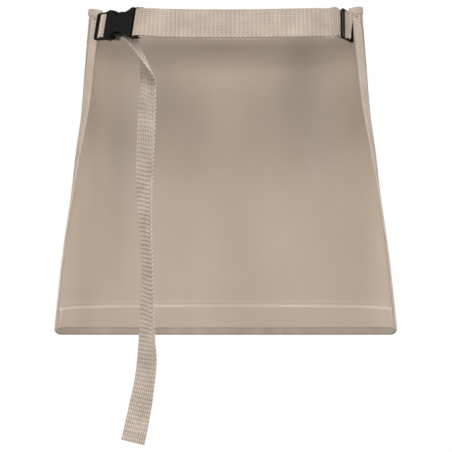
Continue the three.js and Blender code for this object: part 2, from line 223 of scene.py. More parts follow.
def noise(tree: Tree, place: Socket, scale: float, detail: float = 2.0, roughness: float = 0.5) -> Socket:
    """Add soft noise on some coordinates, from 0 to 1."""
    inputs = {"Vector": place, "Scale": scale, "Detail": detail, "Roughness": roughness}
    return add_node(tree, "ShaderNodeTexNoise", inputs).outputs["Fac"]


def waves(tree: Tree, place: Socket, pitch_mm: float, distortion: float, direction: str = "X") -> Socket:
    """Add waves of one pitch along one of the coordinates, from 0 to 1."""
    scale = 2 * math.pi / 20 / (pitch_mm * MM)
    inputs = {"Vector": place, "Scale": scale, "Distortion": distortion}
    return add_node(tree, "ShaderNodeTexWave", inputs, bands_direction=direction).outputs["Fac"]


def ranged(tree: Tree, value: Socket, low: float, high: float) -> Socket:
    """Spread a value of 0 to 1 from low to high."""
    inputs = {"Value": value, "To Min": low, "To Max": high}
    return add_node(tree, "ShaderNodeMapRange", inputs).outputs["Result"]


def worked(tree: Tree, operation: str, *values: Any, **settings: Any) -> Socket:
    """Work one sum on numbers or outputs."""
    inputs = dict(enumerate(values))
    return add_node(tree, "ShaderNodeMath", inputs, operation=operation, **settings).outputs[0]


def blended(tree: Tree, factor: Socket, low: str, high: str) -> Socket:
    """Blend two hex colours."""
    inputs = {"Factor": factor, 6: linear(low), 7: linear(high)}
    return add_node(tree, "ShaderNodeMix", inputs, data_type="RGBA").outputs[2]


def bumped(tree: Tree, height: Socket, strength: float, depth_mm: float) -> Socket:
    """Turn a height into a surface's fine bumps."""
    inputs = {"Strength": strength, "Distance": depth_mm * MM, "Height": height}
    return add_node(tree, "ShaderNodeBump", inputs).outputs["Normal"]


def close_material(tree: Tree, inputs: dict[str, Any]) -> None:
    """End a material's tree in one shader."""
    shader = add_node(tree, "ShaderNodeBsdfPrincipled", inputs)
    add_node(tree, "ShaderNodeOutputMaterial", {"Surface": shader.outputs["BSDF"]})


@dataclass(frozen=True)
class CoatedCloth:
    """Cotton cloth with a thin polymer coating: satin, with only a trace of its weave left in relief.

    The colour is painted from the relief attribute: darker for painted shade, paler for painted light, with a
    random mottle.
    """

    name: str = "coated_cotton_cloth"
    colour: str = "#b5a594"
    # Darkest end of the painted shade and lightest end of the painted light; the even colour lies between.
    painted_shade: str = "#7d7062"
    lighter_tone: str = "#e4d5c5"
    mottled: float = 0.06
    mottle_mm: float = 95.0
    roughness: float = 0.46
    rough_spread: float = 0.05
    thread_mm: float = 1.5  # coarser than the real 0.5 mm, so that it shows at all
    thread_height_mm: float = 0.12
    slubbed: float = 0.6
    shine: float = 0.45

    def make(self) -> Material:
        """Build the material on the piece's flat cut in metres."""
        material, tree = blank_material(self.name)
        flat = add_node(tree, "ShaderNodeUVMap", uv_map="flat").outputs["UV"]
        warp, weft = (waves(tree, flat, self.thread_mm, self.slubbed, direction) for direction in "XY")
        mottle = noise(tree, flat, 1 / (self.mottle_mm * MM), 3.0, 0.55)
        relief = add_node(tree, "ShaderNodeAttribute", attribute_name="relief").outputs["Fac"]
        # The relief attribute carries painted light and shade; the mottle adds random tone.
        painted_light_and_shade = worked(tree, "ADD", relief, ranged(tree, mottle, -self.mottled, self.mottled))
        tone = add_node(tree, "ShaderNodeValToRGB", {"Fac": painted_light_and_shade})
        stops = tone.color_ramp.elements
        stops[0].color, stops[1].color = linear(self.painted_shade), linear(self.lighter_tone)
        stops.new(0.5).color = linear(self.colour)
        close_material(tree, {
            "Base Color": tone.outputs["Color"],
            "Roughness": ranged(
                tree, mottle, self.roughness - self.rough_spread, self.roughness + self.rough_spread
            ),
            "Normal": bumped(tree, worked(tree, "MULTIPLY", warp, weft), 0.25, self.thread_height_mm),
            "Specular IOR Level": self.shine, "IOR": 1.48,
        })
        return material


@dataclass(frozen=True)
class WovenThread:
    """Spun polyester or cotton weave: matt, lighter on the crowns of its yarns than in the hollows."""

    name: str
    crown: str
    hollow: str
    rib_mm: float
    fibre_mm: float = 0.5
    roughness: float = 0.88
    bump_mm: float = 0.25
    slubbed: float = 0.8
    rib_height: float = 0.45
    contrast: float = 0.8
    darker: float = -0.18
    uneven: float = 0.4
    uneven_scale: float = 35.0
    shine: float = 0.25
    sheen: float = 0.12

    def make(self) -> Material:
        """Build the material on the piece's relief attribute and its flat length in metres."""
        material, tree = blank_material(self.name)
        flat = add_node(tree, "ShaderNodeUVMap", uv_map="flat").outputs["UV"]
        relief = add_node(tree, "ShaderNodeAttribute", attribute_name="relief").outputs["Fac"]
        ribs = waves(tree, flat, self.rib_mm, self.slubbed)
        fibres = noise(tree, flat, 1 / (self.fibre_mm * MM), 2.0, 0.6)
        spread = noise(tree, flat, self.uneven_scale)
        height = worked(tree, "MULTIPLY_ADD", ribs, self.rib_height, fibres)
        crowned = worked(tree, "MULTIPLY_ADD", relief, self.contrast, self.darker)
        lively = worked(tree, "MULTIPLY_ADD", spread, self.uneven, crowned, use_clamp=True)
        close_material(tree, {
            "Base Color": blended(tree, lively, self.hollow, self.crown), "Roughness": self.roughness,
            "Normal": bumped(tree, height, 0.5, self.bump_mm),
            "Specular IOR Level": self.shine, "Sheen Weight": self.sheen, "Sheen Roughness": 0.5,
        })
        return material


@dataclass(frozen=True)
class MouldedPlastic:
    """Injection-moulded acetal: near black, with the faint grain of its mould and softly worn edges."""

    name: str
    colour: str
    lighter_tone: str
    roughness: float = 0.42
    rough_spread: float = 0.07
    shine: float = 0.2
    grain_mm: float = 0.6
    grain_depth_mm: float = 0.1
    cloud_scale: float = 90.0

    def make(self) -> Material:
        """Build the material on Object coordinates."""
        material, tree = blank_material(self.name)
        place = add_node(tree, "ShaderNodeTexCoord").outputs["Object"]
        grain = noise(tree, place, 1 / (self.grain_mm * MM))
        cloud = noise(tree, place, self.cloud_scale, 3.0)
        close_material(tree, {
            "Base Color": blended(tree, cloud, self.colour, self.lighter_tone),
            "Roughness": ranged(
                tree, cloud, self.roughness - self.rough_spread, self.roughness + self.rough_spread
            ),
            "Normal": bumped(tree, grain, 0.12, self.grain_depth_mm),
            "Specular IOR Level": self.shine,
        })
        return material


@dataclass(frozen=True)
class PalePaint:
    """Matt paint of the studio floor."""

    name: str = "matt_floor_paint"
    colour: str = "#9a9894"

    def make(self) -> Material:
        """Build the material with a trace of unevenness."""
        material, tree = blank_material(self.name)
        cloud = noise(tree, add_node(tree, "ShaderNodeTexCoord").outputs["Object"], 4.0)
        close_material(tree, {"Base Color": linear(self.colour), "Roughness": ranged(tree, cloud, 0.7, 0.85)})
        return material


@dataclass
class ClothForm:
    """The form in which the cloth hangs: a place for each point of its flat cut. Sizes are in millimetres."""

    width: float = 596.0
    height: float = 450.0
    hem_radius: float = 8.0
    hem_sweep: float = 20.0
    front_y: float = 115.0
    top_z: float = 32.0
    hem_z: float = -421.3
    hem_rise: float = 0.062
    top_slant: float = 1.6
    droop_from: float = 0.8
    droop_depth: float = 7.0
    tape: float = 9.6
    margin: float = 6.0
    probe: float = 1.2
    square_range: tuple[float, float] = (0.8, 5.0)
    seam_drop: float = 409.6
    seam_dip: float = 5.8
    seam_power: float = 2.7
    seam_depth: float = 0.5
    seam_width: float = 2.6
    hem_step: float = 1.7
    step_above: float = 2.0
    step_length: float = 3.6
    step_below: float = 4.0
    hem_fade: float = 0.85
    # How much paler the cloth is below the hem's seam.
    hem_tone: float = 0.03
    # The painted highlight along the hem seam's ridge: its strength, and its ripple along the width.
    ridge_highlight_strength: float = 0.5
    ridge_ripple: float = 0.05
    ripple_length: float = 17.0
    sections: list[Row] = table(
        "drop reach turn",
        (0, 187.0, 133),
        (75, 192.6, 126),
        (138, 197.2, 120.5),
        (200, 204.0, 112),
        (262, 208.9, 98.5),
        (345, 219.7, 86),
        (450, 230.8, 73),
    )
    folds: list[Row] = table(
        "across width depth fade",
        (-0.31, 0.17, 3.4, 190),
        (0.34, 0.17, 3.8, 200),
    )
    # Patches of painted shade (negative tone) and painted light (positive tone).
    painted_patches: list[Row] = table(
        "s drop wide long tone",
        (-88, 105, 26, 75, -0.09),
        (112, 70, 30, 75, -0.2),
        (-154, 185, 24, 90, -0.17),
        (148, 185, 24, 90, -0.09),
        (4, 135, 30, 50, 0.04),
        (-196, 70, 32, 28, 0.12),
        (190, 70, 32, 28, 0.12),
        (-290, 330, 55, 150, 0.26),
        (285, 330, 55, 150, 0.22),
        (-38, 185, 34, 85, -0.12),
        (72, 310, 34, 90, 0.1),
        (-210, 152, 45, 36, -0.12),
        (210, 155, 50, 36, -0.11),
        (-170, 310, 34, 90, -0.09),
    )
    creases: list[Row] = table(
        "s drop angle length width depth",
        (-62, 92, 42, 60, 9, 0.5),
        (20, 96, -40, 60, 9, 0.5),
        (-18, 150, 80, 90, 14, 0.45),
        (118, 120, -62, 80, 16, 0.6),
        (-150, 128, 58, 80, 16, 0.6),
        (70, 265, 86, 110, 20, 0.5),
        (-115, 290, -84, 110, 20, 0.5),
    )
    # Bands of painted highlight along the hem seam's ridge, by their distance below the seam.
    ridge_highlight_bands: list[Row] = table(
        "below wide tone",
        (0.4, 1.45, 0.5),
        (-3, 5, 0.16),
    )
    # How the painted highlight on the ridge changes along the width.
    ridge_highlight_parts: list[Row] = table(
        "s wide tone",
        (-5, 60, -0.2),
        (95, 22, 0.12),
    )

    def __post_init__(self) -> None:
        """Work out the level sections once."""
        self.half = self.width / 2
        rows = int(self.height + 2 * self.margin) + 1
        self.drops = np.linspace(-self.margin, self.height + self.margin, rows)
        self.parts = np.linspace(0, 1.04, 833)
        self.out_table = np.zeros((len(self.drops), len(self.parts)))
        self.back_table = np.zeros_like(self.out_table)
        for i, drop in enumerate(np.clip(self.drops, 0, self.height)):
            turn = math.radians(table_value(self.sections, "drop", "turn", drop))
            reach = table_value(self.sections, "drop", "reach", drop)
            self.out_table[i], self.back_table[i] = self.plan(turn, self.square_for(reach, turn))
        self.foot_back = self.back_table[-1]

    def plan(self, turn: float, square: float) -> tuple[Array, Array]:
        """Trace one section from its middle.

        Args:
            turn: how far the cloth has turned at its side edge, in radians.
            square: how tight the section's corners are.

        Returns:
            How far out and how far back each part of the half width lies.
        """
        step = self.parts[1] - self.parts[0]
        angle = turn * np.power(self.parts[:-1] + step / 2, square)
        out = np.concatenate([[0], np.cumsum(np.cos(angle))]) * step * self.half
        back = np.concatenate([[0], np.cumsum(np.sin(angle))]) * step * self.half
        return out, back

    def square_for(self, reach: float, turn: float) -> float:
        """Find the corner tightness that gives a section its reach."""
        low, high = self.square_range
        for _ in range(26):
            middle = (low + high) / 2
            out = self.plan(turn, middle)[0]
            widest = min(1.0, (math.pi / 2 / turn) ** (1 / middle))
            if np.interp(widest, self.parts, out) < reach:
                low = middle
            else:
                high = middle
        return (low + high) / 2

    def look_up(self, table: Array, part: Array, drop: Array) -> Array:
        """Read a table of sections between its rows and columns."""
        r = np.clip(drop - self.drops[0], 0, len(self.drops) - 1.001)
        c = np.clip(part / (self.parts[1] - self.parts[0]), 0, len(self.parts) - 1.001)
        i, j = r.astype(int), c.astype(int)
        fr, fc = r - i, c - j
        near = table[i, j] * (1 - fc) + table[i, j + 1] * fc
        far = table[i + 1, j] * (1 - fc) + table[i + 1, j + 1] * fc
        return near * (1 - fr) + far * fr

    def middle(self, s: Array, drop: Array) -> Array:
        """Place points of the flat cut on the cloth's smooth middle face.

        Args:
            s: distances from the cut's middle line.
            drop: distances below its top edge.

        Returns:
            Points in millimetres.
        """
        part = np.abs(s) / self.half
        out = self.look_up(self.out_table, part, drop)
        back = self.look_up(self.back_table, part, drop)
        foot = np.interp(part, self.parts, self.foot_back)
        past = np.maximum(0, part - self.droop_from) / (1 - self.droop_from)
        top = self.top_z + self.top_slant * (s / self.half) - self.droop_depth * past * past
        hem = self.hem_z + self.hem_rise * foot
        z = top + drop / self.height * (hem - top)
        return np.stack([np.sign(s) * out, self.front_y - back, z], axis=-1)

    def outward(self, s: Array, drop: Array) -> Array:
        """Give the direction out of the cloth's outer face."""
        return unit(np.cross(self.sideways(s, drop), self.downward(s, drop)))

    def sideways(self, s: Array, drop: Array) -> Array:
        """Give the direction along the cloth's width."""
        return unit(self.middle(s + self.probe, drop) - self.middle(s - self.probe, drop))

    def downward(self, s: Array, drop: Array) -> Array:
        """Give the direction down the cloth's length."""
        return unit(self.middle(s, drop + self.probe) - self.middle(s, drop - self.probe))

    def inside_tapes(self, s: Array, over: float) -> Array:
        """Rise from 0 under the side tapes to 1 at a distance inside them."""
        return limited((self.half - np.abs(s) - self.tape) / over)

    def relief(self, s: Array, drop: Array) -> Array:
        """Give the depth of folds and creases, towards the wearer."""
        depth = np.zeros_like(s)
        for row in self.folds:
            side = s / self.half - row["across"]
            depth += row["depth"] * hump(side, row["width"]) * hump(drop, row["fade"])
        for row in self.creases:
            angle = math.radians(row["angle"])
            run = (s - row["s"]) * math.cos(angle) + (drop - row["drop"]) * math.sin(angle)
            off = (drop - row["drop"]) * math.cos(angle) - (s - row["s"]) * math.sin(angle)
            depth += row["depth"] * hump(run, row["length"]) * hump(off, row["width"])
        depth += self.seam_depth * hump(drop - self.seam(s), self.seam_width)
        above_tape = limited((self.height - drop - self.tape) / self.tape)
        return depth * self.inside_tapes(s, self.tape) * above_tape

    def painted_light_and_shade(self, s: Array, drop: Array) -> Array:
        """Give the painted light and shade from 0 to 1: a half is even, more is painted lighter, less is
        painted darker.
        """
        tone = np.full_like(s, 0.5)
        # Patches of painted shade and painted light.
        for row in self.painted_patches:
            tone += row["tone"] * hump(s - row["s"], row["wide"]) * hump(drop - row["drop"], row["long"])
        # The painted highlight on the hem seam's ridge, which ripples and changes along the width.
        lighter_tone = self.ridge_highlight_strength + self.ridge_ripple * np.sin(s / self.ripple_length)
        lighter_tone += sum(row["tone"] * hump(s - row["s"], row["wide"]) for row in self.ridge_highlight_parts)
        below = drop - self.seam(s)
        ridge = sum(row["tone"] * hump(below - row["below"], row["wide"]) for row in self.ridge_highlight_bands)
        # Add the ridge's painted highlight, and make the cloth a little paler below the seam.
        return tone + lighter_tone * ridge + self.hem_tone * limited((below - 2) / 3)

    def seam(self, s: Array) -> Array:
        """Give the drop of the hem's seam, which dips towards its ends."""
        return self.seam_drop + self.seam_dip * np.abs(s / self.half) ** self.seam_power

    def turned_hem(self, s: Array, drop: Array) -> Array:
        """Give the extra thickness of the hem that is turned up inside, with a step at its seam."""
        below = drop - self.seam(s)
        rise = limited((below + self.step_above) / self.step_length)
        room = self.height - self.tape - self.seam_drop - self.step_below
        fade = 1 - self.hem_fade * limited((below - self.step_below) / room)
        return self.hem_step * eased(rise) * fade * self.inside_tapes(s, 0.4 * self.tape)

    def point(self, s: Array, drop: Array, height: Array | float) -> Array:
        """Place points at a height over the cloth's middle face.

        Args:
            s: distances from the cut's middle line, in millimetres.
            drop: distances below its top edge.
            height: distances out of the middle face, on its outer side if positive.

        Returns:
            Points in metres.
        """
        s, drop = np.broadcast_arrays(np.asarray(s, float), np.asarray(drop, float))
        lift = np.asarray(height, float) - self.relief(s, drop)
        return (self.middle(s, drop) + self.outward(s, drop) * lift[..., None]) * MM

    def sewn_row(self, s: Array, drop: Array, face: Face, lift: float) -> SeamRow:
        """Give a seam's line on one face, and the directions out of that face."""
        return self.point(s, drop, face.value * lift), self.outward(s, drop) * face.value

    def half_width(self, drop: Array) -> Array:
        """Give half the cut's width at a drop: less in the hem's rounded corners."""
        into = np.maximum(0, drop - (self.height - self.hem_radius)) / self.hem_radius
        return self.half - self.hem_sweep * (1 - np.sqrt(np.maximum(0, 1 - into**2)))


def ring_mesh(
    name: str, rings: Array, flat: Array, relief: Array, material: Material
) -> Object:
    """Make a closed mesh through rings of points, with strips of faces at its two ends.

    Args:
        name: the piece's name.
        rings: points in metres, by ring and by place round the ring; the ring goes out along one side and
            back along the other, so that it has an even number of points.
        flat: the flat coordinates of each point, in metres.
        relief: a value from 0 to 1 for each point that sets its colour; it holds the weave's height, and on
            some pieces painted light and shade.
        material: the piece's finish.

    Returns:
        The new object, smooth and facing out.
    """
    count, size = rings.shape[:2]
    corner = np.arange(count * size).reshape(count, size)
    after = np.roll(corner, -1, axis=1)
    sides = np.stack([corner[:-1], after[:-1], after[1:], corner[1:]], axis=-1).reshape(-1, 4)
    i = np.arange(size // 2 - 1)
    strip = np.stack([i, size - 1 - i, size - 2 - i, i + 1], axis=-1)
    caps = np.concatenate([strip, strip[:, ::-1] + (count - 1) * size])
    mesh = bpy.data.meshes.new(name)
    mesh.from_pydata(rings.reshape(-1, 3).tolist(), [], np.concatenate([sides, caps]).tolist())
    uv = mesh.uv_layers.new(name="flat")
    order = np.zeros(len(mesh.loops), np.int32)
    mesh.loops.foreach_get("vertex_index", order)
    uv.data.foreach_set("uv", flat.reshape(-1, 2)[order].astype(np.float32).ravel())
    attribute = mesh.attributes.new("relief", "FLOAT", "POINT")
    attribute.data.foreach_set("value", relief.astype(np.float32).ravel())
    work = bmesh.new()
    work.from_mesh(mesh)
    bmesh.ops.recalc_face_normals(work, faces=work.faces)
    work.to_mesh(mesh)
    work.free()
    mesh.shade_smooth()
    mesh.materials.append(material)
    return add_object(name, mesh)


@dataclass
class Stitching:
    """Sewn thread: a node tree sets one short stitch on each point of a row."""

    material: Material
    length: float = 2.3
    thickness: float = 0.62
    pitch: float = 3.3

    def tree(self) -> Tree:
        """Build the tree, with named inputs for the stitch's length and thickness."""
        tree = bpy.data.node_groups.new("sewn_stitches", "GeometryNodeTree")
        for name, way, kind in (
            ("Geometry", "INPUT", "NodeSocketGeometry"),
            ("Stitch length", "INPUT", "NodeSocketFloat"),
            ("Thread thickness", "INPUT", "NodeSocketFloat"),
            ("Geometry", "OUTPUT", "NodeSocketGeometry"),
        ):
            tree.interface.new_socket(name, in_out=way, socket_type=kind)
        given = add_node(tree, "NodeGroupInput")
        thick = given.outputs["Thread thickness"]
        size = add_node(
            tree, "ShaderNodeCombineXYZ", {"X": given.outputs["Stitch length"], "Y": thick, "Z": thick}
        )
        bead = add_node(tree, "GeometryNodeMeshUVSphere", {"Segments": 6, "Rings": 4, "Radius": 0.5})
        smooth = add_node(tree, "GeometryNodeSetShadeSmooth", {0: bead.outputs["Mesh"]})
        along, out = (
            add_node(tree, "GeometryNodeInputNamedAttribute", {"Name": name}, data_type="FLOAT_VECTOR")
            for name in ("along", "out")
        )
        turn = add_node(
            tree, "FunctionNodeAxesToRotation", {0: along.outputs[0], 1: out.outputs[0]},
            primary_axis="X", secondary_axis="Z",
        )
        sewn = add_node(
            tree, "GeometryNodeInstanceOnPoints",
            {"Points": given.outputs["Geometry"], "Instance": smooth.outputs[0],
             "Rotation": turn.outputs[0], "Scale": size.outputs[0]},
        )
        real = add_node(tree, "GeometryNodeRealizeInstances", {"Geometry": sewn.outputs[0]})
        dressed = add_node(
            tree, "GeometryNodeSetMaterial", {"Geometry": real.outputs[0], "Material": self.material}
        )
        add_node(tree, "NodeGroupOutput", {0: dressed.outputs[0]})
        return tree

    def spots(self, line: Array, out: Array) -> tuple[Array, Array, Array]:
        """Space stitches evenly along a line.

        Args:
            line: points of the seam in metres.
            out: the direction out of the cloth at each.

        Returns:
            The stitches' places, their directions and the directions out of the cloth.
        """
        run = lengths(line)
        count = max(2, int(run[-1] / (self.pitch * MM)))
        at = (np.arange(count) + 0.5) * run[-1] / count
        step = 0.2 * self.pitch * MM
        along = follow(at + step, run, line) - follow(at - step, run, line)
        return follow(at, run, line), unit(along), unit(follow(at, run, out))

    def sew(self, name: str, rows: Iterable[SeamRow]) -> Object:
        """Make one piece of all the stitches in some rows.

        Args:
            name: the piece's name.
            rows: for each row its line and the directions out of the cloth.

        Returns:
            The stitches as a plain mesh.
        """
        spots = [self.spots(line, out) for line, out in rows]
        place, along, out = (np.concatenate([spot[k] for spot in spots]) for k in range(3))
        mesh = bpy.data.meshes.new(name)
        mesh.from_pydata(place.tolist(), [], [])
        for key, value in (("along", along), ("out", out)):
            attribute = mesh.attributes.new(key, "FLOAT_VECTOR", "POINT")
            attribute.data.foreach_set("vector", value.astype(np.float32).ravel())
        made = add_object(name, mesh)
        tree = self.tree()
        modifier = made.modifiers.new("stitches", "NODES")
        modifier.node_group = tree
        sizes = {"Stitch length": self.length * MM, "Thread thickness": self.thickness * MM}
        for item in tree.interface.items_tree:
            if item.in_out == "INPUT" and item.name in sizes:
                modifier[item.identifier] = sizes[item.name]
        settle(made)
        made.data.shade_smooth()
        return made


@dataclass
class Panel:
    """The cloth panel with its hem's seam. Sizes are in millimetres."""

    form: ClothForm
    cloth: Material
    stitching: Stitching
    columns: int = 220
    rows: int = 150
    seam_rows: int = 34
    hem_rows: int = 10
    corner_rows: int = 8
    seam_above: float = 12.0
    seam_below: float = 8.0
    crowding: float = 1.15
    thickness: float = 1.0
    # Share of the painted light and shade that the outer face gets.
    outer_painted_share: float = 0.25
    sewn_above: float = 3.4
    thread_lift: float = 0.12

    def build(self) -> Object:
        """Make the cloth as a thin closed sheet, with its rows closer at the seam."""
        form = self.form
        corner = form.height - form.hem_radius
        above, below = form.seam_drop - self.seam_above, form.seam_drop + self.seam_below
        drops = np.concatenate([
            np.linspace(0, above, self.rows, endpoint=False),
            np.linspace(above, below, self.seam_rows, endpoint=False),
            np.linspace(below, corner, self.hem_rows, endpoint=False),
            corner + form.hem_radius * np.sin(np.linspace(0, math.pi / 2, self.corner_rows)),
        ])
        across = np.sin(np.linspace(-1, 1, self.columns + 1) * self.crowding) / math.sin(self.crowding)
        s = across[None, :] * form.half_width(drops)[:, None]
        drop = np.repeat(drops[:, None], len(across), axis=1)
        outer = form.point(s, drop, self.thickness / 2)
        inner = form.point(s, drop, -self.thickness / 2 - form.turned_hem(s, drop))
        flat = np.stack([s, drop], axis=-1) * MM
        lighter_tone = form.painted_light_and_shade(s, drop)
        # The outer face gets a share of the painted light and shade, the inner face all of it.
        outside = 0.5 + self.outer_painted_share * (lighter_tone - 0.5)
        rings = both_faces(outer, inner)
        return ring_mesh("panel_cloth", rings, both_faces(flat, flat), both_faces(outside, lighter_tone), self.cloth)

    def sew(self) -> Object:
        """Sew the line above the hem, on both faces."""
        end = self.form.half - self.form.tape - 1
        s = np.linspace(-end, end, 400)
        drop = self.form.seam(s) - self.sewn_above
        lift = self.thickness / 2 + self.thread_lift
        rows = [self.form.sewn_row(s, drop, face, lift) for face in Face]
        return self.stitching.sew("hem_seam_stitches", rows)


@dataclass
class Binding:
    """Woven tape folded over the panel's edges and sewn through. Sizes are in millimetres."""

    form: ClothForm
    tape: Material
    stitching: Stitching
    width: float = 9.6
    outer_width: float = 20.5
    inner_width: float = 3.2
    cloth: float = 1.0
    gap: float = 0.15
    thickness: float = 1.1
    top_depth: float = 8.0
    top_slant: float = 5.5
    top_over: float = 9.6
    top_gap: float = 0.7
    sewn_in: float = 1.3
    outer_sewn_in: float = 1.8
    top_sewn_in: float = 1.04
    thread_sunk: float = 0.3
    step: float = 1.1
    pucker: float = 0.12
    lining_points: int = 10
    bead_run: float = 4.0
    bead_across: float = 6.4
    bead_start: float = 0.8
    bead_until: float = 9.0
    bead_fade: float = 4.0
    bead_least: float = 0.25
    bead_most: float = 0.9
    twill_run: float = 5.0
    twill_lean: float = 1.2
    outer_tone: float = 0.88
    # Tone of the inner faces: the hem's inner face is painted dark as shade, the sides' inner face is darker
    # than the outer face.
    painted_hem_shade: float = 0.01
    twill_depth: float = 0.7
    side_tone: float = 0.34
    side_depth: float = 0.36
    # Painted shade where the tape turns over the edge: darker on the hem, less so along the sides.
    fold_painted_shade: float = 0.55
    side_fold_painted_shade: float = 0.27
    top_run: float = 1000.0
    edge_in: tuple[float, ...] = (1.0, 0.97, 0.9)
    edge_lift: tuple[float, ...] = (-0.55, -0.22, -0.16, -0.34)
    face_in: tuple[float, ...] = (0.05, 0.2, 0.5, 0.68)
    face_lift: tuple[float, ...] = (-0.06, -0.02, 0.0, -0.06)

    def section(self, width: float) -> tuple[Array, Array]:
        """Trace the tape's section, from its outer free edge round the fold and back inside.

        Args:
            width: the tape's width on each face.

        Returns:
            For each point how far in from the cloth's edge it lies, and its height over the cloth.
        """
        slot = self.cloth / 2 + self.gap
        full = slot + self.thickness
        rest = np.linspace(0.72, 0.05, 13)
        inwards = np.concatenate([self.edge_in, [1 - self.sewn_in / width], rest]) * width
        lift = np.concatenate([self.edge_lift, np.interp(rest, self.face_in, self.face_lift)])
        turns = np.linspace(math.pi / 2, -math.pi / 2, 8)[1:-1]
        fold_in = -(self.gap + self.thickness) * np.cos(turns)
        fold_height = full * np.sin(turns) * 0.97
        outside_in = np.concatenate([inwards, fold_in, inwards[::-1]])
        outside_height = np.concatenate([full + lift, fold_height, -(full + lift)[::-1]])
        lining = np.linspace(0, 1, self.lining_points)
        inside_in = np.interp(lining, [0, 0.4, 0.6, 1], [width, -self.gap, -self.gap, width])
        inside_height = np.interp(lining, [0, 0.42, 0.58, 1], [-slot, -slot, slot, slot])
        return np.concatenate([outside_in, inside_in]), np.concatenate([outside_height, inside_height])

    def top_width(self, s: Array) -> Array:
        """Give the top tape's depth: its ends slant down at the side edges."""
        past = np.maximum(0, np.abs(s) - (self.form.half - self.top_over)) / self.top_over
        return self.top_depth + self.top_slant * np.minimum(1, past)

    def edge_places(self) -> tuple[Array, Array, Array, Array]:
        """Follow the left side, the hem and the right side.

        Returns:
            For each station the edge's s and drop, and the direction inwards in s and drop.
        """
        form = self.form
        corner = form.height - form.hem_radius
        start = self.top_depth + self.top_slant + self.top_gap
        side = np.linspace(start, corner, int((corner - start) / self.step))
        bend = np.radians(np.linspace(0, 90, 16))[1:-1]
        flat = form.half - form.hem_sweep
        hem = np.linspace(0, flat, int(flat / self.step))[::-1]
        bend_s = form.half - form.hem_sweep * (1 - np.cos(bend))
        bend_drop = corner + form.hem_radius * np.sin(bend)

        def whole(sign: int, *half: Array) -> Array:
            """Join the parts of the right half, and put the left half with its sign before it."""
            right = np.concatenate(half)
            return np.concatenate([sign * right, right[::-1][1:]])

        return (
            whole(-1, np.full_like(side, form.half), bend_s, hem),
            whole(1, side, bend_drop, np.full_like(hem, form.height)),
            whole(-1, np.full_like(side, -1), -np.cos(bend), np.zeros_like(hem)),
            whole(1, np.zeros_like(side), -np.sin(bend), np.full_like(hem, -1)),
        )

    def weave(
        self, run: Array, inwards: Array, height: Array, sides: Array | float
    ) -> Array:
        """Give the tape's relief: beaded outside and on the sides, twill inside elsewhere; the hem's inner
        face is painted dark as shade, and the sides' inner face is somewhat darker than the outer face.

        Args:
            run: lengths along the tape, in millimetres.
            inwards: distances in from the cloth's edge.
            height: heights over the cloth, on its outer side if positive.
            sides: 1 along the panel's sides and 0 elsewhere.

        Returns:
            The relief from 0 to 1.
        """
        across = np.cos(2 * np.pi * (inwards - self.bead_start) / self.bead_across)
        beads = 0.5 + 0.5 * np.cos(2 * np.pi * run / self.bead_run) * across
        twill = 0.5 + 0.5 * np.cos(2 * np.pi * (run + self.twill_lean * inwards) / self.twill_run)
        depth = np.clip((self.bead_until - inwards) / self.bead_fade, self.bead_least, self.bead_most)
        outer = self.outer_tone + depth * (beads - 0.75)
        # Painted shade: the hem's inner face is much darker than the outer face.
        hem = self.painted_hem_shade + self.twill_depth * twill
        side = self.side_tone + self.side_depth * beads
        return np.where(height < -0.6, hem * (1 - sides) + side * sides, outer)

    def along_side(self, drop: Array) -> Array:
        """Tell the sides from the hem: 1 along the sides, falling to 0 in the hem's corners."""
        bend = self.form.hem_radius
        return limited((self.form.height - 0.25 * bend - drop) / (0.75 * bend))

    def reach(self, drop: Array, face: Face) -> Array:
        """Give the tape's width on a face: along the sides it is wider outside and narrower inside."""
        side_width = self.outer_width if face is Face.OUTER else self.inner_width
        return self.width + (side_width - self.width) * self.along_side(drop)

    def outside(self, section: Array) -> Array:
        """Tell the section's points that show from those of its lining."""
        return np.arange(len(section)) < len(section) - self.lining_points

    def swollen(self, height: Array, relief: Array) -> Array:
        """Raise the section's points that show by the relief of the weave."""
        return height + np.where(self.outside(height), np.sign(height), 0) * self.pucker * (2 * relief - 1.4)

    def edge(self) -> Object:
        """Make the tape of the sides and the hem."""
        s, drop, in_s, in_drop = self.edge_places()
        inwards, height = self.section(self.width)
        run = np.arange(len(s)) * self.step
        sides = self.along_side(drop)[:, None]
        relief = self.weave(run[:, None], inwards[None, :], height[None, :], sides)
        # Painted shade: the tape is darker where it turns over the cloth's edge, less so along the sides.
        turned = ((inwards < 0.6) & self.outside(inwards))[None, :]
        relief = np.where(turned, relief * (self.fold_painted_shade + self.side_fold_painted_shade * sides), relief)
        lean = np.maximum(0, inwards) / self.top_over * self.top_slant
        slope = np.zeros((len(s), len(inwards)))
        slope[0] = slope[-1] = -np.minimum(lean, self.top_slant)
        outer, inner = (self.reach(drop, face)[:, None] / self.width for face in (Face.OUTER, Face.INNER))
        reach = np.where(inwards > 0, inwards * np.where(height > 0, outer, inner), inwards)
        rows_s = s[:, None] + in_s[:, None] * reach
        rows_drop = drop[:, None] + in_drop[:, None] * reach + slope
        rings = self.form.point(rows_s, rows_drop, self.swollen(height, relief))
        flat = np.stack(np.broadcast_arrays(run[:, None], reach), axis=-1) * MM
        return ring_mesh("edge_tape", rings, flat, relief, self.tape)

    def top(self) -> Object:
        """Make the tape of the top edge."""
        ends = self.form.half + self.gap + self.thickness
        s = np.linspace(-ends, ends, int(2 * ends / self.step))
        widths = self.top_width(s)
        base, height = self.section(self.top_depth)
        inwards = np.where(base > 0, base * widths[:, None] / self.top_depth, base)
        run = s[:, None] + self.top_run
        relief = self.weave(run, base[None, :], height[None, :], 0.0)
        rows_s = np.broadcast_to(s[:, None], inwards.shape)
        rings = self.form.point(rows_s, inwards, self.swollen(height, relief))
        flat = np.stack(np.broadcast_arrays(run, base[None, :]), axis=-1) * MM
        return ring_mesh("top_tape", rings, flat, relief, self.tape)

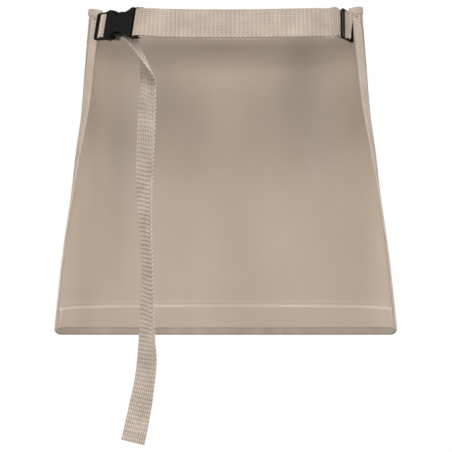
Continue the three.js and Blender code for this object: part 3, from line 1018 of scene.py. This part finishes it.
    def sew(self) -> list[Object]:
        """Sew both tapes through, with a row near each free edge.

        Returns:
            The stitches of the edge tape and of the top tape.
        """
        form = self.form
        lift = self.cloth / 2 + self.gap + self.thickness - self.thread_sunk
        s, drop, in_s, in_drop = self.edge_places()
        depth = {
            Face.INNER: self.reach(drop, Face.INNER) - self.sewn_in,
            Face.OUTER: self.reach(drop, Face.OUTER) * (1 - self.outer_sewn_in / self.outer_width),
        }
        top_s = np.linspace(-form.half + 1, form.half - 1, 300)
        top_drop = self.top_width(top_s) - self.top_sewn_in
        edge_rows = [
            form.sewn_row(s + in_s * depth[face], drop + in_drop * depth[face], face, lift) for face in Face
        ]
        top_rows = [form.sewn_row(top_s, top_drop, face, lift) for face in Face]
        return [
            self.stitching.sew("edge_tape_stitches", edge_rows),
            self.stitching.sew("top_tape_stitches", top_rows),
        ]


@dataclass
class Station:
    """One place on a strap's path: its middle in millimetres and the direction of its width."""

    point: Array
    across: Array


def row_station(row: Row) -> Station:
    """Turn a table's row of a place, with the yaw and rise of the strap's width, into a station."""
    return Station(np.array([row["x"], row["y"], row["z"]]), heading(row["yaw"], row["rise"]))


def sewn_stations(form: ClothForm, side: Side, drop: float = 24.0, height: float = -3.7) -> list[Station]:
    """Follow the stretch of a strap that is sewn inside a side edge, from its end to the edge."""
    s = side.value * (form.half - np.array([38.0, 30, 22, 12, 5, -2]))
    at = np.full_like(s, drop)
    points = form.point(s, at, height) / MM
    across = -form.downward(s, at)
    return [Station(p, a) for p, a in zip(points, across)]


@dataclass
class Placement:
    """Local frame of a piece of hardware: u along it, v up across the strap, w out of its face."""

    x: float
    y: float
    z: float
    turn: float
    lean: float = 0.0
    roll: float = 0.0

    def __post_init__(self) -> None:
        """Work out the three directions."""
        a, b, c = (math.radians(k) for k in (self.turn, self.lean, self.roll))
        up = np.array([0.0, 0.0, 1.0])
        flat = np.array([math.cos(a), math.sin(a), 0.0])
        self.u = flat * math.cos(c) - up * math.sin(c)
        level = flat * math.sin(c) + up * math.cos(c)
        self.v = level * math.cos(b) - np.cross(self.u, level) * math.sin(b)
        self.w = np.cross(self.u, self.v)

    def at(self, u: float, v: float, w: float) -> Array:
        """Give a local point's place in the part's frame, in millimetres."""
        return np.array([self.x, self.y, self.z]) + self.u * u + self.v * v + self.w * w

    def threaded(self, rows: Sequence[Sequence[float]], shift: float = 0.0) -> list[Station]:
        """Turn a strap's local path, of u, w and the lean of its upper edge outwards, into stations."""
        stations = []
        for u, w, *lean in rows:
            turned = self.v + self.w * math.tan(math.radians(lean[0])) if lean else self.v
            stations.append(Station(self.at(u, shift, w), unit(turned)))
        return stations


BUCKLE = Placement(-172.2, -54, 1.4, -42.7, lean=12)
SLIDER = Placement(153.8, -86.2, 3.1, 60, roll=7.6, lean=4.4)


@dataclass
class Fold:
    """A slanting fold: above its crease the strap comes round towards the back, with its other face showing.

    Sizes are in millimetres and degrees. The foot is the strap's middle where the crease meets its near edge.
    """

    foot: tuple[float, float, float] = (-104.4, -51.5, -78.7)
    upwards: tuple[float, float, float] = (0.6, -7.3, 33.3)
    yaw: float = 132.0
    rise: float = 7.0
    slant: float = 33.7
    turn: float = 68.4
    radius: float = 11.0
    half_width: float = 16.0
    top: float = 64.1
    easing: float = 16.0
    top_easing: float = 20.0

    def place(self, up: Array, across: Array) -> Array:
        """Wrap the flat strap round the crease.

        Args:
            up: lengths along the strap above the foot.
            across: distances from the strap's middle.

        Returns:
            The points in millimetres.
        """
        slant, turn = math.radians(self.slant), math.radians(self.turn)
        side = heading(self.yaw, self.rise)
        rising = np.array(self.upwards)
        rising = unit(rising - side * np.dot(rising, side))
        crease = math.cos(slant) * rising + math.sin(slant) * side
        past = math.sin(slant) * rising - math.cos(slant) * side
        back = np.cross(rising, side)
        along = math.cos(slant) * up + math.sin(slant) * (across + self.half_width)
        over = math.sin(slant) * up - math.cos(slant) * (across + self.half_width)
        bend = np.clip(over / self.radius, 0, turn)
        beyond = np.maximum(0, over - self.radius * turn)
        flat = np.minimum(over, 0) + self.radius * np.sin(bend) + beyond * math.cos(turn)
        raised = self.radius * (1 - np.cos(bend)) + beyond * math.sin(turn)
        edge = np.array(self.foot) - self.half_width * side
        return edge + along[..., None] * crease + flat[..., None] * past + raised[..., None] * back

    def stations(self) -> list[Station]:
        """Follow the strap's middle down the fold to its foot."""
        up = np.linspace(self.top, 0, 10)
        middle = self.place(up, np.zeros_like(up))
        across = unit(self.place(up, np.ones_like(up)) - self.place(up, -np.ones_like(up)))
        return [Station(p, a) for p, a in zip(middle, across)]

    def lay(self, base: Array, line: Array, run: Array, across: Array) -> Array:
        """Bring a strap's points onto the fold, easing in and out of it.

        Args:
            base: the strap's points, a row for each place along it.
            line: its middle line.
            run: its length so far at each row.
            across: the points' distances from the middle line.

        Returns:
            The points in millimetres.
        """
        up = run[np.argmin(np.linalg.norm(line - self.foot, axis=1))] - run
        near = limited(1 + up / self.easing) * limited(1 + (self.top - up) / self.top_easing)
        return base + eased(near)[:, None, None] * (self.place(up[:, None], across) - base)


@dataclass
class Webbing:
    """A woven strap: yarns in raised beads or ribs, with rounded beaded edges. Sizes are in millimetres."""

    name: str
    width: float
    material: Material
    weave: Weave = Weave.BEADED
    cell: float = 2.8
    thickness: float = 1.6
    crown: float = 0.4
    finest: float = 3.4
    swing: float = 0.3
    turned_end: float = 0.0
    turned_height: float = 0.75
    selvage: float = 1.3
    edge_bead: float = 0.16
    edge_share: float = 0.045
    dot_height: float = 0.48
    column_height: float = 0.26
    row_height: float = 0.18
    row_uneven: float = 0.15
    crispness: float = 1.4
    furrow_depth: float = 0.48
    rib_uneven: float = 0.16
    rib_slant: float = 0.16
    rib_share: float = 0.4
    rib_gain: float = 0.35
    rib_gain_over: float = 80.0
    ribs_from: float = 85.0
    ribs_start_over: float = 20.0
    ribs_full: float = 260.0
    ribs_until: float = 540.0
    ribs_end_over: float = 90.0
    waver: float = 0.5
    waver_length: float = 31.0
    ripple: float = 0.35
    ripple_length: float = 23.0
    ripple_width: float = 4.0
    fuzz: tuple[tuple[float, float], ...] = ((2.03, 1.46), (-1.06, 1.7))
    # Spans along the strap with painted light on its front face and painted shade on its back face.
    painted_spans: tuple[tuple[float, float], ...] = ()
    painted_span_fade: float = 12.0
    front_painted_light: float = 0.45
    back_painted_shade: float = 0.55
    fold: Fold | None = None

    def path(self, stations: Sequence[Station]) -> tuple[Array, Array, Array, Array]:
        """Follow the stations on one smooth line.

        Args:
            stations: places along the strap.

        Returns:
            The middle line in millimetres, the directions across and out of the strap's face, and the
            length so far, all at even steps.
        """
        points, turns = (
            np.concatenate([[2 * k[0] - k[1]], k, [2 * k[-1] - k[-2]]])
            for k in (np.array([j.point for j in stations]), np.array([j.across for j in stations]))
        )
        middle, across = [], []
        basis = hermite(np.linspace(0, 1, 60, endpoint=False)[:, None])
        for i in range(1, len(points) - 2):
            p0, p1, p2, p3 = points[i - 1 : i + 3]
            d0, d1, d2 = (math.sqrt(np.linalg.norm(b - a)) for a, b in ((p0, p1), (p1, p2), (p2, p3)))
            start = ((p1 - p0) / d0 - (p2 - p0) / (d0 + d1) + (p2 - p1) / d1) * d1
            end = ((p2 - p1) / d1 - (p3 - p1) / (d1 + d2) + (p3 - p2) / d2) * d1
            middle.append(basis[0] * p1 + basis[1] * start + basis[2] * p2 + basis[3] * end)
            a0, a1, a2, a3 = turns[i - 1 : i + 3]
            swing = self.swing * (basis[1] * (a2 - a0) + basis[3] * (a3 - a1))
            across.append(basis[0] * a1 + basis[2] * a2 + swing)
        line = np.concatenate([*middle, points[-2][None]])
        turn = np.concatenate([*across, turns[-2][None]])
        run = lengths(line)
        at = np.linspace(0, run[-1], int(run[-1] / (self.cell / self.finest)) + 1)
        line, turn = follow(at, run, line), follow(at, run, turn)
        ahead = unit(np.gradient(line, axis=0))
        turn = unit(turn - ahead * np.sum(turn * ahead, axis=1, keepdims=True))
        return line, turn, np.cross(ahead, turn), at

    def relief(self, run: Array, across: Array) -> Array:
        """Give the height of the yarns from 0 to 1.

        Args:
            run: lengths along the strap, in millimetres.
            across: distances from one edge.

        Returns:
            The height at each pair.
        """
        along, side = np.pi * run / self.cell, 2 * np.pi * across / self.cell
        dots = self.dot_height * np.cos(along) * np.sin(side) + self.column_height * np.cos(side)
        rows = self.row_height * np.cos(2 * along) + self.row_uneven * np.cos(along - 0.7)
        beads = limited(0.5 + 0.5 * (dots + rows))
        if self.weave is Weave.BEADED:
            return beads
        waver = self.waver * np.sin(run / self.waver_length)
        waver = waver + self.ripple * np.sin(across / self.ripple_width + run / self.ripple_length)
        furrow = (0.5 + 0.5 * np.cos(along + self.rib_slant * across + waver)) ** 3
        uneven = np.prod([np.sin(k * run + j * across) for k, j in self.fuzz], axis=0)
        ribbed = self.rib_share + self.rib_gain * limited((run - self.ribs_full) / self.rib_gain_over)
        furrowed = ribbed * (0.15 - self.furrow_depth * furrow)
        ribs = 0.45 + (1.3 - 0.9 * ribbed) * dots + furrowed + self.rib_uneven * uneven
        starting = limited((run - self.ribs_from) / self.ribs_start_over)
        share = starting * limited((self.ribs_until - run) / self.ribs_end_over + 0.5)
        crisp = limited(0.5 + self.crispness * (beads - 0.5))
        return crisp * (1 - share) + ribs * share

    def build(self, stations: Sequence[Station]) -> tuple[Object, Array]:
        """Weave the strap along its stations.

        Args:
            stations: places along the strap.

        Returns:
            The strap, and its middle line in metres.
        """
        line, turn, _, run = self.path(stations)
        half = self.width / 2
        across = np.linspace(0, self.width, int(round(self.width / self.cell * self.finest)) + 1)
        off = across - half
        edge = 1 - np.abs(off) / half
        weave = self.relief(run[:, None], across[None, :])
        selvage = limited(1 - edge * half / self.selvage)[None, :]
        # Painted light on the front face and painted shade on the back face, inside the painted spans.
        painted_span_share = np.zeros_like(run)
        for start, end in self.painted_spans:
            painted_span_share += limited((run - start) / self.painted_span_fade) * limited((end - run) / self.painted_span_fade)
        beaded = np.cos(np.pi * run / self.cell)[:, None]
        shade = weave * (1 - selvage) + selvage * (0.6 + 0.3 * beaded)
        painted_front = shade + self.front_painted_light * painted_span_share[:, None] * (1 - selvage)
        painted_back = shade * (1 - self.back_painted_shade * painted_span_share[:, None])
        taper = np.sqrt(limited(edge / self.edge_share) * 0.75 + 0.25)
        lift = (self.thickness / 2 - self.crown + self.crown * weave) * taper[None, :]
        turned = np.where(run > run[-1] - self.turned_end, self.turned_height, 0.0)
        spread = off[None, :] * (1 + self.edge_bead * beaded * (np.abs(off)[None, :] / half) ** 12 / half)
        base = line[:, None, :] + turn[:, None, :] * spread[..., None]
        if self.fold:
            base = self.fold.lay(base, line, run, spread)
        face = unit(np.cross(np.gradient(base, axis=0), np.gradient(base, axis=1)))
        front = base + face * lift[..., None]
        back = base - face * (lift + turned[:, None])[..., None]
        flat = np.stack(np.broadcast_arrays(run[:, None], across[None, :]), axis=-1) * MM
        rings = both_faces(front, back) * MM
        made = ring_mesh(self.name, rings, both_faces(flat, flat), both_faces(painted_front, painted_back), self.material)
        return made, line * MM


@dataclass
class Belt:
    """The waist belt: doubled between the slider and the buckle, and sewn to the panel's right corner."""

    form: ClothForm
    webbing: Webbing
    layer: float = 2.3
    back_drop: float = 1.6
    run: list[Row] = table(
        "x y z back",
        (-85, -114.6, 0, 0.6),
        (-45, -115, -0.8, 1.6),
        (0, -115.5, -1.1, 2.4),
        (45, -115.3, -0.7, 2.2),
        (90, -114.6, 0.2, 0.9),
        (118, -112, 1, 0.9),
        (137, -105.5, 1.8, 1.8),
    )

    def run_stations(self, layer: int) -> list[Station]:
        """Follow the run across the back in one layer: 0 is the outer one, and 1 the lower one inside it."""
        up = np.array([0.0, 0.0, 1.0])
        return [
            Station(np.array([row["x"], row["y"] + layer * self.layer, row["z"] - layer * row["back"]]), up)
            for row in self.run
        ]

    def build(self) -> Object:
        """Weave the belt through its slider and round the buckle's bar."""
        sewn_end = SLIDER.threaded([
            (15.4, 2.9), (17.4, 2.9), (19.4, 1.9), (20, 0), (19.4, -1.9), (17.2, -2.9), (13, -3.7), (8, -4.7),
        ])
        sewn_end += SLIDER.threaded([(0, -5), (-12, -4.4)], -self.back_drop)
        loop = BUCKLE.threaded([
            (85, -2.4), (79, -3), (75, -3), (72.7, -1.9), (71.9, 0), (72.7, 1.9), (75, 3), (79, 3), (85, 1.4),
        ])
        through = SLIDER.threaded([
            (-12, -2.1), (0, -2.8), (6, -2.8), (8.4, -1.2), (10.6, 1.6), (12.8, 4.2), (15.5, 5.2),
            (18, 5.4, 6), (20.6, 4.6, 12), (23, 2.2, 14), (25, -0.6, 8), (26.8, -2.8, 2),
            (29, -3.3), (33, -3.9),
        ])
        return self.webbing.build([
            *sewn_end, *self.run_stations(1)[::-1], *loop, *self.run_stations(0),
            *through, *sewn_stations(self.form, Side.RIGHT)[::-1],
        ])[0]


@dataclass
class FreeStrap:
    """The strap from the panel's left corner through the buckle, with its long free end."""

    form: ClothForm
    webbing: Webbing
    stitching: Stitching
    sewn_up: float = 11.5
    sewn_share: float = 0.46
    front_lift: float = 1.15
    back_lift: float = 1.9
    hang_y: float = -45.7
    turning: Row = field(default_factory=lambda: {
        "x": -131.0, "y": -64.6, "z": -2.5, "yaw": 41.6, "rise": 30.8,
    })
    hang: list[Row] = table(
        "x z yaw rise",
        (-106.2, -106.3, 140, 5),
        (-107.8, -150, 140, 2),
        (-109.7, -190.6, 137, 1),
        (-109.3, -231, 130, 0),
        (-107.8, -278, 123, 0),
        (-105.6, -330, 121, -1),
        (-106, -372.5, 126, -2),
        (-106.1, -418, 135, -2),
        (-106.4, -449.3, 147, -2),
        (-109.8, -478.9, 151, -2),
        (-115.5, -511.3, 163, -1),
        (-122.1, -543.7, 172, 0),
        (-125.1, -557.4, 174, 0),
    )

    def stations(self) -> list[Station]:
        """Follow the strap from its sewn end to its free end."""
        weave = BUCKLE.threaded([
            (1.5, -3.1), (4.4, -2.8), (6.3, 0.4), (8.4, 2.7), (11.2, 3.1), (14.6, 2.7), (16.8, 0.4),
            (17.6, -3.6), (18.2, -7.4),
        ])
        weave += BUCKLE.threaded([(20.1, -14.7)], 0.6) + BUCKLE.threaded([(22.7, -20.6)], 1.5)
        free = [row_station({"y": self.hang_y, **row}) for row in self.hang]
        sewn = sewn_stations(self.form, Side.LEFT)
        return [*sewn, *weave, row_station(self.turning), *self.webbing.fold.stations(), *free]

    def build(self) -> tuple[Object, Array]:
        """Weave the strap.

        Returns:
            The strap, and its middle line in metres.
        """
        return self.webbing.build(self.stations())

    def sew(self) -> Object:
        """Sew down the turned end of the strap, on both faces."""
        line, turn, face, run = self.webbing.path(self.stations())
        at = int(np.searchsorted(run, run[-1] - self.sewn_up))
        reach = np.linspace(-self.sewn_share, self.sewn_share, 12)[:, None] * self.webbing.width
        rows = []
        for out, lift in ((face[at], self.front_lift), (-face[at], self.back_lift)):
            row = (line[at] + turn[at] * reach + out * lift) * MM
            rows.append((row, np.repeat(out[None], len(row), axis=0)))
        return self.stitching.sew("strap_end_stitches", rows)


@dataclass
class Hardware:
    """A moulded piece made from its solid: its flats joined, and its edges rounded."""

    node: str
    name: str
    material: Material
    radius: float = 0.45
    segments: int = 2
    flat_angle: float = 2.0
    edge_angle: float = 28.0
    weld: float = 0.02

    def build(self) -> Object:
        """Copy the solid, join its flat faces and round its edges."""
        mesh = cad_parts[self.node].data.copy()
        mesh.name = self.name
        work = bmesh.new()
        work.from_mesh(mesh)
        bmesh.ops.remove_doubles(work, verts=work.verts, dist=self.weld * MM)
        bmesh.ops.dissolve_limit(
            work, angle_limit=math.radians(self.flat_angle), verts=work.verts, edges=work.edges
        )
        work.to_mesh(mesh)
        work.free()
        mesh.materials.clear()
        mesh.materials.append(self.material)
        made = add_object(self.name, mesh)
        bevel = made.modifiers.new("rounded edges", "BEVEL")
        bevel.width = self.radius * MM
        bevel.segments = self.segments
        bevel.limit_method = "ANGLE"
        bevel.angle_limit = math.radians(self.edge_angle)
        bevel.harden_normals = True
        settle(made)
        return made


@dataclass(frozen=True)
class SoftLight:
    """A soft light that faces a height on the object's middle axis. Sizes are in metres and watts."""

    name: str
    place: tuple[float, float, float]
    target_z: float
    size: tuple[float, float]
    power: float

    def hang(self) -> None:
        """Hang the light."""
        light = bpy.data.lights.new(self.name, "AREA")
        light.shape = "RECTANGLE"
        light.size, light.size_y = self.size
        light.energy = self.power
        lamp = add_object(self.name, light)
        lamp.location = self.place
        sight = Vector((0, 0, self.target_z)) - Vector(self.place)
        lamp.rotation_euler = sight.to_track_quat("-Z", "Y").to_euler()


@dataclass
class Studio:
    """Pale floor, soft lights, white surround and the camera. Sizes are in metres."""

    floor_z: float = -0.75
    floor_y: float = -0.55
    floor_half: float = 1.6
    camera: tuple[float, float, float] = (0.0004, -2.412, -0.266)
    sensor_mm: float = 36.0
    focal_px: float = 1755.7
    image_px: int = 452
    surround: float = 0.03
    lights: tuple[SoftLight, ...] = (
        SoftLight("front_strip", (0, -2.8, 0.1), 0, (2.6, 0.45), 22),
        SoftLight("left_strip", (-2.3, -1.5, 0.17), 0, (2.2, 0.58), 39),
        SoftLight("right_strip", (2.3, -1.5, 0.17), 0, (2.2, 0.58), 39),
        SoftLight("left_softbox", (-1.8, -2.0, 1.15), -0.15, (1.2, 1.1), 27),
        SoftLight("right_softbox", (1.8, -2.0, 1.15), -0.15, (1.2, 1.1), 27),
        SoftLight("far_softbox", (0, 2.6, 0.9), -0.15, (2.0, 1.5), 60),
    )

    def build(self) -> None:
        """Set everything round the object."""
        self.make_floor()
        self.make_surround()
        for light in self.lights:
            light.hang()
        self.make_camera()
        bpy.context.scene.view_settings.view_transform = "Standard"

    def make_floor(self) -> None:
        """Lay a level floor below the object."""
        mesh = bpy.data.meshes.new("studio_floor")
        work = bmesh.new()
        bmesh.ops.create_grid(work, x_segments=24, y_segments=24, size=self.floor_half)
        bmesh.ops.translate(work, verts=work.verts, vec=(0, self.floor_y, self.floor_z))
        work.to_mesh(mesh)
        work.free()
        mesh.materials.append(PalePaint().make())
        add_object("studio_floor", mesh)

    def make_surround(self) -> None:
        """Light softly from all round, with a white ground behind the object."""
        world = bpy.data.worlds.new("studio")
        world.use_nodes = True
        tree = world.node_tree
        tree.nodes.clear()
        seen = add_node(tree, "ShaderNodeLightPath").outputs["Is Camera Ray"]
        strength = ranged(tree, seen, self.surround, 1.0)
        light = add_node(tree, "ShaderNodeBackground", {"Color": linear("#ffffff"), "Strength": strength})
        add_node(tree, "ShaderNodeOutputWorld", {"Surface": light.outputs["Background"]})
        bpy.context.scene.world = world

    def make_camera(self) -> None:
        """Set the camera level, square on to the middle of the back."""
        data = bpy.data.cameras.new("camera")
        data.sensor_width = self.sensor_mm
        data.lens = self.sensor_mm * self.focal_px / self.image_px
        data.clip_start, data.clip_end = 0.05, 50
        camera = add_object("camera", data)
        camera.location = self.camera
        camera.rotation_euler = (math.pi / 2, 0, 0)
        bpy.context.scene.camera = camera


def dress(piece: Object, slot: str | None, *nodes: str) -> Object:
    """Let a piece ride on the part, and hide the solids that it stands for.

    Args:
        piece: the finished piece.
        slot: not used.
        nodes: the solids that it replaces.

    Returns:
        The piece.
    """
    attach(piece, BODY)
    if nodes:
        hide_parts(*nodes)
    LOG.info("%s: %d faces", piece.name, len(piece.data.polygons))
    return piece


def main() -> None:
    """Build the apron's pieces in order, then the studio."""
    logging.basicConfig(level=logging.INFO, format="%(name)s %(message)s")
    cloth = CoatedCloth().make()
    tape = WovenThread("woven_cotton_tape", crown="#d9cabb", hollow="#8c7d70", rib_mm=1.6).make()
    belt_yarn = WovenThread("polyester_belt_webbing", crown="#dfd0c1", hollow="#726457", rib_mm=1.4).make()
    strap_yarn = WovenThread("polyester_strap_webbing", crown="#efe0d0", hollow="#66584d", rib_mm=1.5).make()
    thread = WovenThread("sewing_thread", crown="#a89989", hollow="#85786b", rib_mm=0.8, bump_mm=0.05).make()
    black = MouldedPlastic("moulded_acetal", colour="#0e0f0f", lighter_tone="#131414").make()
    gloss = MouldedPlastic("moulded_nylon", colour="#0a0b0b", lighter_tone="#0f1010", roughness=0.3, shine=0.3).make()

    form = ClothForm()
    seam = Stitching(thread)
    panel = Panel(form, cloth, seam)
    sheet = dress(panel.build(), "coated_cloth", "panel")
    hem = dress(panel.sew(), "coated_cloth")
    binding = Binding(form, tape, seam)
    edge = dress(binding.edge(), "binding_tape", "edge_binding")
    top = dress(binding.top(), "binding_tape", "top_binding")
    tape_stitches = [dress(piece, "binding_tape") for piece in binding.sew()]
    dress(Belt(form, Webbing("belt_webbing", 37.0, belt_yarn)).build(), "belt_webbing", "waist_belt")
    # The painted spans: painted light on the strap's front and painted shade on its back, in the buckle's
    # window and where it leaves the buckle.
    ribbed = Webbing(
        "strap_webbing", 32.0, strap_yarn, Weave.RIBBED, cell=2.95, thickness=2.3, turned_end=14.0,
        painted_spans=((52.0, 66.0), (90.0, 192.0)), fold=Fold(),
    )
    free = FreeStrap(form, ribbed, seam)
    strap, line = free.build()
    dress(strap, "strap_webbing", "tail_strap")
    strap_end = dress(free.sew(), "strap_webbing")
    length = float(np.linalg.norm(np.diff(line, axis=0), axis=1).sum())
    LOG.info("strap length %.3f m", length)
    tuple(line[0])
    for node, name, finish, slot in (
        ("buckle_plug", "buckle_plug_moulding", black, "buckle_plastic"),
        ("buckle_socket", "buckle_socket_moulding", black, "buckle_plastic"),
        ("slider", "slider_moulding", gloss, "slider_plastic"),
    ):
        dress(Hardware(node, name, finish).build(), slot, node)
    Studio().build()


if __name__ == "__main__":
    main()
